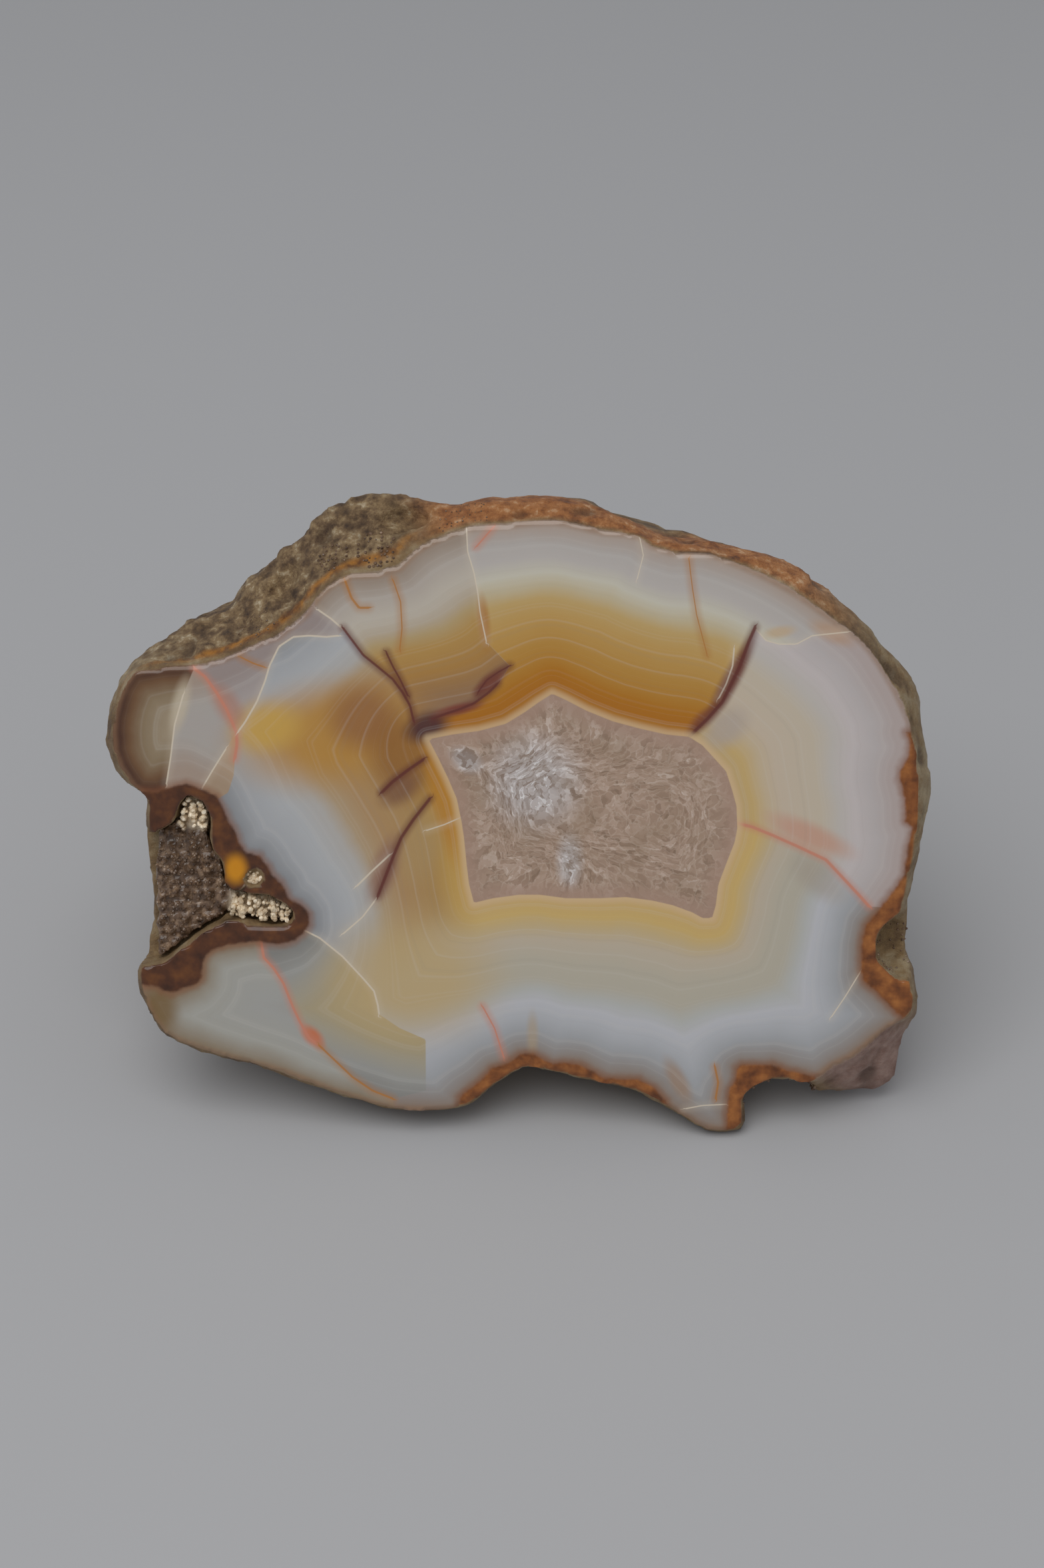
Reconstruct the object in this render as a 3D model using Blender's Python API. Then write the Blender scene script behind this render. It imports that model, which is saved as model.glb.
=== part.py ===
"""A small agate nodule, ground flat and polished on one side, standing on its rounded belly.

The stone is modelled lying with its polished face up, in the plane z = 0, and is then
tipped up to the way it stands: the face looks to -Y and leans back, +Z is up, and the
origin is on the resting surface under the middle of the stone.
"""
import math
import random

import bmesh
import bpy
import numpy as np
from mathutils import Matrix, Vector, noise

MM = 0.001

# Sizes, in millimetres and degrees
FACE_LEAN = 24.0            # how far the polished face leans back from upright
FACE_MIDDLE = (-0.03, -11.99, 25.9)   # from the origin, under the middle of the whole stone
THICKNESS = 36.0            # from the polished face to the deepest point of the back
BELLY_HALF_WIDTH = 32.8     # the oval that the outline softens into behind the face
BELLY_HALF_HEIGHT = 24.5
BELLY_RISE = 0.2            # how far the middle of that oval is above the face's middle
SOFTENING_DEPTH = 11.0      # how deep the face's outline can still be seen in the sides
DOME_POWER = 2.15           # 2 would make the back an ellipse in section
LUMP_HEIGHT = 1.5           # broad lumps on the natural outside
LUMP_SPACING = 8.0
WART_HEIGHT = 0.7           # smaller warts between them
WART_SPACING = 3.6
LUMPS_START = 2.0           # depths between which the lumps come in
LUMPS_FULL = 12.0
HOLLOW_DEPTH = 3.6          # the open hollow at the left end of the face
CRUST_GAP = 0.3
CRUST_THICKNESS = 1.1
CRYSTAL_SPACING = 1.0
CRYSTAL_WANDER = 0.27       # how far a crystal's corners stray from even rows
CRYSTAL_LOWEST = 0.3
CRYSTAL_HIGHEST = 0.95
CRUST_WAVES = 0.5           # how unevenly the crust is thick
NOTCH_DEPTH = 2.4           # the rough notch on the right edge
POCKET_DEPTH = 6.0          # the open pocket under the lower right edge
WALL_TAPER = 0.85           # the bottom of the notch and the pocket, against their mouths
PIT_UNEVENNESS = 0.45       # how far a pit strays from an even bowl, as a share of its size
CUTTER_REACH = 2.0          # how far a cutter stands out of what it cuts
SEED = 7

STONE_COLOUR = (0.62, 0.60, 0.55)
CRYSTAL_COLOUR = (0.72, 0.64, 0.50)

# How finely the stone is divided
COLUMNS = 156
SHOULDER_RINGS = 4
DOME_RINGS = 21
CROWDED = 0.55              # points nearer to each other than this are joined at the back

# The polished face seen square on, from its left end over the top: right, up
FACE_EDGE = [
    (-33.5, 6.0), (-33.4, 8.0), (-32.8, 10.2), (-31.7, 12.0), (-29.2, 12.4), (-26.2, 12.5),
    (-23.7, 13.1), (-21.8, 14.2), (-19.6, 14.9), (-17.4, 16.7), (-16.0, 18.6), (-14.1, 19.9),
    (-11.9, 19.9), (-9.8, 20.4), (-8.1, 22.1), (-5.9, 23.2), (-4.3, 23.8), (-1.1, 24.0),
    (3.2, 24.3), (6.5, 23.5), (9.7, 23.2), (10.8, 22.3), (13.0, 21.7), (14.4, 22.0),
    (17.4, 21.0), (20.1, 19.8), (22.8, 18.3), (25.0, 16.7), (28.3, 14.3), (30.6, 10.9),
    (32.0, 8.1), (32.7, 5.0), (32.9, 2.0), (33.0, -1.0), (32.7, -3.5), (32.2, -6.0),
    (31.9, -8.2), (32.2, -11.0), (32.6, -13.5), (33.1, -15.7), (32.8, -17.9), (31.3, -18.0),
    (29.7, -19.3), (28.3, -20.6), (26.4, -21.5), (25.0, -22.7), (21.6, -25.0), (18.9, -27.0),
    (17.2, -27.3), (15.8, -27.1), (14.6, -26.6), (12.4, -24.9), (10.7, -23.9), (7.9, -23.3),
    (4.2, -22.3), (1.4, -21.7), (0.6, -21.5), (-0.8, -22.2), (-2.0, -22.9), (-3.4, -24.4),
    (-4.5, -25.1), (-6.8, -25.5), (-10.7, -25.3), (-13.2, -24.6), (-16.9, -23.3),
    (-20.2, -21.9), (-24.2, -20.9), (-27.5, -19.9), (-29.7, -18.9), (-31.0, -17.0),
    (-31.7, -14.5), (-31.7, -12.8), (-31.4, -11.1), (-30.8, -9.9), (-30.6, -3.0),
    (-30.6, 1.9), (-31.7, 2.2), (-32.6, 3.4), (-33.2, 4.6),
]

# The widest outline of the stone, a little behind the face, in the same directions
GIRTH = [
    (-34.5, 7.1), (-34.2, 8.7), (-33.1, 11.4), (-31.2, 13.3), (-28.7, 15.1), (-27.3, 16.1),
    (-24.2, 16.5), (-23.1, 18.2), (-20.8, 20.4), (-18.3, 22.3), (-16.9, 24.0), (-15.2, 25.5),
    (-13.2, 26.3), (-10.4, 26.3), (-7.7, 25.7), (-5.5, 25.3), (-3.6, 25.8), (0.0, 25.9),
    (2.7, 26.0), (5.5, 25.5), (8.8, 24.3), (11.0, 23.2), (12.1, 22.6), (14.3, 22.6),
    (17.6, 21.9), (20.9, 21.2), (23.1, 20.3), (25.6, 18.2), (29.0, 15.2), (30.7, 13.2),
    (32.8, 10.9), (33.5, 8.7), (33.4, 7.5), (34.2, 4.1), (34.6, 2.7), (34.3, -0.1),
    (33.7, -3.0), (33.1, -6.2), (32.6, -8.5), (32.8, -12.6), (33.9, -15.3), (34.0, -17.9),
    (32.8, -20.3), (32.6, -22.1), (32.3, -24.0), (30.5, -25.2), (27.5, -25.1), (25.7, -24.8),
    (21.6, -26.6), (18.9, -27.6), (17.4, -27.8), (15.8, -27.6), (13.6, -26.2), (11.6, -24.9),
    (9.6, -23.8), (6.8, -23.2), (2.8, -22.3), (0.6, -21.8), (-0.9, -22.6), (-2.6, -23.9),
    (-4.5, -25.4), (-7.9, -25.9), (-12.2, -25.4), (-17.0, -23.7), (-22.6, -21.8),
    (-27.7, -20.4), (-29.9, -19.4), (-31.4, -17.3), (-32.2, -14.9), (-32.2, -13.0),
    (-31.3, -10.3), (-31.0, -6.0), (-31.0, 1.5), (-32.5, 2.0), (-33.8, 3.5), (-34.4, 5.0),
]

# How far behind the face the widest outline lies: direction in degrees, depth
GIRTH_DEPTH = [
    (0, 3.5), (60, 3.0), (92, 3.0), (108, 4.0), (125, 5.5), (150, 5.5), (165, 3.0),
    (180, 2.0), (240, 0.8), (300, 0.8), (318, 4.0), (330, 4.0), (345, 3.5),
]

# Where the outside is broken and slopes straight back from the face, not in a round
BROKEN_SLOPES = [(100, 0.0), (112, 0.9), (150, 0.9), (165, 0.0), (305, 0.0), (316, 1.0),
                 (330, 1.0), (338, 0.0)]

# The hollow's edge on the face, clockwise from the top of its open left side
HOLLOW_EDGE = [
    (-30.4, -1.6), (-28.5, -0.6), (-28.2, 1.1), (-27.2, 1.6), (-26.1, 0.8), (-25.6, -0.6),
    (-25.9, -1.8), (-25.5, -3.1), (-24.8, -3.8), (-24.6, -5.8), (-24.0, -6.6), (-21.0, -6.9),
    (-18.8, -8.2), (-18.9, -9.5), (-21.0, -9.5), (-23.0, -9.2), (-24.5, -8.9), (-26.1, -9.9),
    (-27.3, -10.6), (-28.7, -11.8), (-30.4, -12.9),
]
HOLLOW_OPEN_SIDE = -34.0
CRUST_OPEN_SIDE = -30.8
NOTCH_EDGE = [
    (30.3, -9.4), (31.5, -8.4), (36.0, -8.0), (36.0, -14.2), (31.5, -14.2), (29.9, -12.8),
    (29.6, -11.1),
]
POCKET_EDGE = [
    (18.8, -31.0), (18.9, -25.8), (18.7, -24.5), (19.4, -23.6), (20.3, -23.0), (22.0, -22.8),
    (25.2, -23.1), (25.6, -25.6), (26.5, -31.0),
]

# Single pits: place on the face or behind it (right, up, depth), half sizes, turn
PITS = [
    ("small_pit", (-22.1, -5.4, 0.0), (1.05, 0.85, 1.1), 0.0),
    ("dark_pit", (-19.6, 19.3, 2.2), (2.5, 1.7, 2.3), 40.0),
    ("top_left_pit", (-10.2, 24.6, 2.4), (2.9, 1.3, 1.5), -8.0),
    ("back_pit_high", (10.0, 13.5, 30.5), (4.4, 2.7, 2.0), 25.0),
    ("back_pit_middle", (-12.0, 2.0, 33.5), (2.6, 4.0, 1.8), 10.0),
    ("side_pit_right", (30.6, 4.0, 14.0), (1.5, 2.6, 4.0), 20.0),
    ("side_pit_left", (-27.5, 8.0, 17.0), (1.8, 3.4, 2.6), 30.0),
]


def polar(outline):
    """(direction in degrees, distance from the middle) pairs, in rising order."""
    return sorted((math.degrees(math.atan2(up, right)) % 360, math.hypot(right, up))
                  for right, up in outline)


def along(pairs, directions):
    """Values read between the given (direction, value) pairs, right round the circle."""
    known, values = np.array(pairs).T
    return np.interp(directions, known, values, period=360)


def ovalRadius(directions):
    angle = np.radians(directions)
    across = np.cos(angle) / BELLY_HALF_WIDTH
    upward = np.sin(angle) / BELLY_HALF_HEIGHT
    return 1 / np.hypot(across, upward)


def easeIn(value):
    value = np.clip(value, 0, 1)
    return value * value * (3 - 2 * value)


def stoneRings():
    """Rings of points (right, up, depth) from the face's edge to the back."""
    directions = np.arange(COLUMNS) * 360 / COLUMNS
    faceRadius = along(polar(FACE_EDGE), directions)
    girthRadius = along(polar(GIRTH), directions)
    girthDepth = along(GIRTH_DEPTH, directions)
    straight = along(BROKEN_SLOPES, directions)
    oval = ovalRadius(directions)
    rings = []
    for step in range(SHOULDER_RINGS + 1):
        part = step / SHOULDER_RINGS
        rounded = np.sin(part * math.pi / 2)
        share = rounded + (part - rounded) * straight
        radius = faceRadius + (girthRadius - faceRadius) * share
        rings.append((radius, girthDepth * part, 0.0))
    for step in range(1, DOME_RINGS):
        part = math.sin(step / DOME_RINGS * math.pi / 2)
        depth = girthDepth + (THICKNESS - girthDepth) * part
        narrowing = (1 - part ** DOME_POWER) ** (1 / DOME_POWER)
        soft = easeIn((depth - girthDepth) / SOFTENING_DEPTH)
        radius = (girthRadius + (oval - girthRadius) * soft) * narrowing
        rings.append((radius, depth, BELLY_RISE * soft))
    angle = np.radians(directions)
    return [np.stack([radius * np.cos(angle), radius * np.sin(angle) + rise, depth + 0 * radius], 1)
            for radius, depth, rise in rings]


def lumpy(point):
    """How far the natural outside stands out at a place, in millimetres."""
    broad = noise.noise(point / LUMP_SPACING)
    small = noise.noise(point / WART_SPACING + Vector((11.0, 5.0, 3.0)))
    share = easeIn((-point.z - LUMPS_START) / (LUMPS_FULL - LUMPS_START))
    return (broad * LUMP_HEIGHT + small * WART_HEIGHT) * share


def addStone():
    """The nodule: a ring of edges drawn out of the flat face, step by step, to the back."""
    bm = bmesh.new()
    rings = stoneRings()
    bmesh.ops.create_circle(bm, cap_ends=True, segments=COLUMNS, radius=1.0)
    bm.verts.ensure_lookup_table()
    ring = list(bm.verts)
    place(ring, rings[0])
    edges = list(bm.edges)
    for points in rings[1:]:
        grown = bmesh.ops.extrude_edge_only(bm, edges=edges)["geom"]
        edges = [edge for edge in only(bmesh.types.BMEdge, grown) if edge.is_boundary]
        ring = orderedRing(edges, ring)
        place(ring, points)
    cap = bmesh.ops.extrude_edge_only(bm, edges=edges)["geom"]
    apex = Vector((0.0, BELLY_RISE, -THICKNESS)) * MM
    bmesh.ops.pointmerge(bm, verts=only(bmesh.types.BMVert, cap), merge_co=apex)
    bmesh.ops.recalc_face_normals(bm, faces=bm.faces)
    roughen(bm)
    behind = [vert for vert in bm.verts if vert.co.z < -THICKNESS / 2 * MM]
    bmesh.ops.remove_doubles(bm, verts=behind, dist=CROWDED * MM)
    stand(bm)
    cutRestingSpot(bm)
    stone = addObject("agate_nodule", bm, STONE_COLOUR, 0.35)
    stone.data.shade_smooth()
    stone.data.set_sharp_from_angle(angle=math.radians(35))
    return stone


def only(kind, geometry):
    return [item for item in geometry if isinstance(item, kind)]


def place(ring, points):
    for vert, (right, up, depth) in zip(ring, points):
        vert.co = Vector((right, up, -depth)) * MM


def orderedRing(edges, before):
    """The new ring's points in the order of the ring that they were drawn out of."""
    fresh = {vert for edge in edges for vert in edge.verts}
    return [next(edge.other_vert(vert) for edge in vert.link_edges if edge.other_vert(vert) in fresh)
            for vert in before]


def roughen(bm):
    bm.normal_update()
    moves = [vert.normal * lumpy(vert.co / MM) * MM for vert in bm.verts]
    for vert, move in zip(bm.verts, moves):
        vert.co += move


def stand(bm):
    """Tips the stone up on its belly and moves it over the origin."""
    turn = Matrix.Rotation(math.radians(90.0 - FACE_LEAN), 4, "X")
    bm.transform(Matrix.Translation(Vector(FACE_MIDDLE) * MM) @ turn)


def cutRestingSpot(bm):
    """The belly is worn flat where the stone stands."""
    everything = list(bm.verts) + list(bm.edges) + list(bm.faces)
    cut = bmesh.ops.bisect_plane(bm, geom=everything, plane_co=(0, 0, 0), plane_no=(0, 0, -1),
                                 clear_outer=True)
    bmesh.ops.contextual_create(bm, geom=only(bmesh.types.BMEdge, cut["geom_cut"]))
    bmesh.ops.recalc_face_normals(bm, faces=bm.faces)


def addObject(name, bm, colour, roughness):
    mesh = bpy.data.meshes.new(name)
    bm.to_mesh(mesh)
    bm.free()
    item = bpy.data.objects.new(name, mesh)
    bpy.context.collection.objects.link(item)
    material = bpy.data.materials.new(name)
    material.use_nodes = True
    shader = material.node_tree.nodes["Principled BSDF"]
    shader.inputs["Base Color"].default_value = (*colour, 1.0)
    shader.inputs["Roughness"].default_value = roughness
    shader.inputs["Metallic"].default_value = 0.0
    mesh.materials.append(material)
    return item


def addPrism(name, outline, depth, narrowing=1.0):
    """A block with the given outline, from in front of the face down to a depth."""
    bm = bmesh.new()
    verts = [bm.verts.new((right * MM, up * MM, CUTTER_REACH * MM)) for right, up in outline]
    face = bm.faces.new(verts)
    grown = bmesh.ops.extrude_face_region(bm, geom=[face])["geom"]
    lower = only(bmesh.types.BMVert, grown)
    middle = sum((vert.co for vert in lower), Vector()) / len(lower)
    for vert in lower:
        vert.co = middle + (vert.co - middle) * narrowing
        vert.co.z = -depth * MM
    bmesh.ops.recalc_face_normals(bm, faces=bm.faces)
    return addCutter(name, bm)


def addScoop(name, centre, halfSizes, turn):
    """An uneven egg, half sunk in the surface, that leaves a natural pit."""
    bm = bmesh.new()
    bmesh.ops.create_icosphere(bm, subdivisions=3, radius=1.0)
    for vert in bm.verts:
        vert.co *= 1.0 + PIT_UNEVENNESS * noise.noise(vert.co * 1.4 + Vector(centre))
    right, up, depth = centre
    shape = Matrix.Diagonal((*halfSizes, 1.0))
    spin = Matrix.Rotation(math.radians(turn), 4, "Z")
    bm.transform(Matrix.Scale(MM, 4) @ Matrix.Translation((right, up, -depth)) @ spin @ shape)
    return addCutter(name, bm)


def addCutter(name, bm):
    stand(bm)
    cutter = addObject(name, bm, STONE_COLOUR, 0.5)
    cutter.display_type = "WIRE"
    cutter.hide_render = True
    return cutter


def boolean(item, cutter, operation):
    step = item.modifiers.new(cutter.name, "BOOLEAN")
    step.operation = operation
    step.object = cutter
    step.solver = "EXACT"


def addCrust():
    """The crust of small crystals that lines the hollow at the left end of the face."""
    left, low = np.min(HOLLOW_EDGE, axis=0)
    width, height = np.ptp(HOLLOW_EDGE, axis=0)
    bm = bmesh.new()
    bmesh.ops.create_grid(bm, x_segments=round(width / CRYSTAL_SPACING),
                          y_segments=round(height / CRYSTAL_SPACING), size=0.5)
    surface = -(HOLLOW_DEPTH - CRUST_GAP - CRUST_THICKNESS)
    rng = random.Random(SEED)
    for vert in bm.verts:
        vert.co.x = left + (vert.co.x + 0.5) * width + stray(rng)
        vert.co.y = low + (vert.co.y + 0.5) * height + stray(rng)
        vert.co.z = surface + CRUST_WAVES * noise.noise(vert.co / 2.3)
    for tip in bmesh.ops.poke(bm, faces=bm.faces, center_mode="MEAN")["verts"]:
        tip.co += Vector((stray(rng), stray(rng), rng.uniform(CRYSTAL_LOWEST, CRYSTAL_HIGHEST)))
    base = bmesh.ops.extrude_face_region(bm, geom=list(bm.faces))["geom"]
    for vert in only(bmesh.types.BMVert, base):
        vert.co.z = -(HOLLOW_DEPTH - CRUST_GAP)
    bmesh.ops.recalc_face_normals(bm, faces=bm.faces)
    bm.transform(Matrix.Scale(MM, 4))
    stand(bm)
    crust = addObject("hollow_crystals", bm, CRYSTAL_COLOUR, 0.3)
    inner = openedTo(CRUST_OPEN_SIDE, drawnIn(HOLLOW_EDGE, CRUST_GAP))
    boolean(crust, addPrism("crust_outline", inner, HOLLOW_DEPTH + CUTTER_REACH), "INTERSECT")


def stray(rng):
    return rng.uniform(-CRYSTAL_WANDER, CRYSTAL_WANDER)


def drawnIn(outline, distance):
    """The clockwise run of points moved inward by a distance."""
    moved = []
    for index, point in enumerate(outline):
        before = Vector(outline[max(index - 1, 0)])
        after = Vector(outline[min(index + 1, len(outline) - 1)])
        onward = (after - before).normalized()
        moved.append((point[0] + onward.y * distance, point[1] - onward.x * distance))
    return moved


def openedTo(side, outline):
    """The run of points closed by a straight side further out to the left."""
    return [(side, outline[0][1]), *outline, (side, outline[-1][1])]


def main():
    for item in list(bpy.data.objects):
        bpy.data.objects.remove(item)
    stone = addStone()
    hollow = openedTo(HOLLOW_OPEN_SIDE, HOLLOW_EDGE)
    boolean(stone, addPrism("hollow", hollow, HOLLOW_DEPTH), "DIFFERENCE")
    boolean(stone, addPrism("right_notch", NOTCH_EDGE, NOTCH_DEPTH, WALL_TAPER), "DIFFERENCE")
    boolean(stone, addPrism("lower_pocket", POCKET_EDGE, POCKET_DEPTH, WALL_TAPER), "DIFFERENCE")
    for name, centre, halfSizes, turn in PITS:
        boolean(stone, addScoop(name, centre, halfSizes, turn), "DIFFERENCE")
    addCrust()


main()
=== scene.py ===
import math
import random

import bmesh
import bpy
import numpy as np
from mathutils import Matrix, Vector, noise


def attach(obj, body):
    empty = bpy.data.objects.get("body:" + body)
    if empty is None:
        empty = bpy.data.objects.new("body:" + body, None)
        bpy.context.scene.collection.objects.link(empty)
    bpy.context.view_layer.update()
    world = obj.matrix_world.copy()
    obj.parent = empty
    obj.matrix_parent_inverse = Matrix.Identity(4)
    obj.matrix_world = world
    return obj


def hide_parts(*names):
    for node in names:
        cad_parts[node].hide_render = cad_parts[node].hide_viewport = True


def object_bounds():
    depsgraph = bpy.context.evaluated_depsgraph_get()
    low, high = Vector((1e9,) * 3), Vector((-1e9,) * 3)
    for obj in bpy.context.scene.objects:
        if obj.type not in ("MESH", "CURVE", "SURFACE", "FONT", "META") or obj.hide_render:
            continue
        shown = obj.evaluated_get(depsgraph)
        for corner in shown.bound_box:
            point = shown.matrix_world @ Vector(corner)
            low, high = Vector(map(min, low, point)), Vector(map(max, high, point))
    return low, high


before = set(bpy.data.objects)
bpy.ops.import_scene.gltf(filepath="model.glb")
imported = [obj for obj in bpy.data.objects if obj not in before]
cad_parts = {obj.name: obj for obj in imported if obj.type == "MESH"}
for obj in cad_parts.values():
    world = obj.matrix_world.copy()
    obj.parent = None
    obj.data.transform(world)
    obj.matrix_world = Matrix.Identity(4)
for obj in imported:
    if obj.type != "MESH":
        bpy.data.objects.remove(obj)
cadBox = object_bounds()
print("frame loaded")

mm = 0.001
faceLean = math.radians(24)          # the polished face leans back from upright
faceMiddle = Vector((-0.03, -11.99, 25.9)) * mm
faceTurn = math.radians(90) - faceLean
# Face coordinates: right, up and out of the polished face, in millimetres
toWorld = Matrix.Translation(faceMiddle) @ Matrix.Rotation(faceTurn, 4, "X") @ Matrix.Scale(mm, 4)
toFace = toWorld.inverted()
studioLight = 0.60                   # how bright a white surface looks under the studio light


def seen(red, green, blue):
    # a colour as the photo shows it, turned into the stone's own colour
    return tuple((value / 255) ** 2.2 / studioLight for value in (red, green, blue))


# The cut pattern of the polished face, in face coordinates
coreEdge = [
    (-7.5, 6.4), (-5.5, 6.8), (-3.3, 7.1), (-1.1, 7.7), (0.5, 8.7), (1.6, 9.5), (2.7, 10.2), (3.8, 9.7),
    (5.5, 8.8), (7.7, 7.9), (9.9, 7.3), (12.1, 6.8), (14.0, 6.6), (15.1, 5.9), (16.2, 4.7), (17.1, 3.7),
    (17.6, 2.2), (18.0, 0.8), (18.1, -1.1), (17.9, -2.3), (17.2, -4.2), (16.6, -5.9), (16.4, -7.7),
    (16.1, -8.8), (15.3, -8.8), (14.4, -8.3), (12.8, -7.7), (11.1, -7.3), (8.9, -7.0), (6.7, -7.1),
    (3.9, -7.1), (1.7, -6.8), (0, -6.8), (-2.2, -7.1), (-3.8, -7.5), (-4.2, -5.9), (-4.4, -4.2),
    (-4.6, -2.0), (-4.8, -0.6), (-5.2, 1.4), (-5.9, 3.1), (-6.7, 4.8),
]
brownEdges = dict(
    cavity=[
        (-38, 2.0), (-29.8, 2.0), (-28.9, 2.4), (-27.5, 2.7), (-26.2, 2.2), (-25.1, 1.7), (-24.5, 0.6),
        (-24.0, -0.6), (-23.5, -1.4), (-23.2, -2.5), (-22.7, -3.2), (-21.6, -3.4), (-21.0, -4.2),
        (-20.5, -5.1), (-19.7, -5.9), (-19.2, -7.1), (-18.1, -7.7), (-17.5, -8.5), (-17.5, -9.4),
        (-18.1, -10.2), (-18.9, -10.8), (-20.3, -11.1), (-22.0, -10.8), (-24.2, -11.1), (-25.3, -11.4),
        (-26.2, -11.9), (-26.5, -12.8), (-26.6, -14.0), (-27.1, -14.5), (-28.2, -14.9), (-29.1, -15.3),
        (-29.9, -15.1), (-30.4, -14.7), (-38, -14.0),
    ],
    rightSide=[
        (31.8, 7.0), (32.2, 6.4), (32.1, 5.0), (31.5, 3.9), (31.4, 3.1), (31.9, 1.4), (32.0, -0.6),
        (32.6, -1.1), (32.2, -3.1), (32.0, -5.1), (31.1, -6.5), (30.1, -7.9), (28.9, -9.4), (28.6, -11.1),
        (28.6, -13.4), (28.9, -14.3), (30.2, -15.4), (31.6, -16.9), (32.8, -18.0), (38, -18), (38, 7),
    ],
    scallop=[
        (-5.1, -24.4), (-4.5, -23.8), (-3.4, -23.0), (-2.3, -21.8), (-1.1, -21.4), (0, -20.6),
        (1.1, -20.5), (2.0, -21.0), (2.8, -21.4), (3.9, -21.3), (5.1, -21.5), (6.2, -22.1),
        (7.3, -22.7), (10.1, -22.8), (11.5, -23.6), (12.4, -24.7), (12.4, -30), (-5.1, -30),
    ],
    pocket=[
        (17.5, -27.4), (17.6, -25.0), (17.7, -23.8), (18.3, -22.7), (18.3, -21.8), (18.8, -21.5),
        (21.3, -21.5), (22.8, -22.0), (23.6, -22.2), (25.0, -22.6), (25, -30), (17.5, -30),
    ],
)

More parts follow.
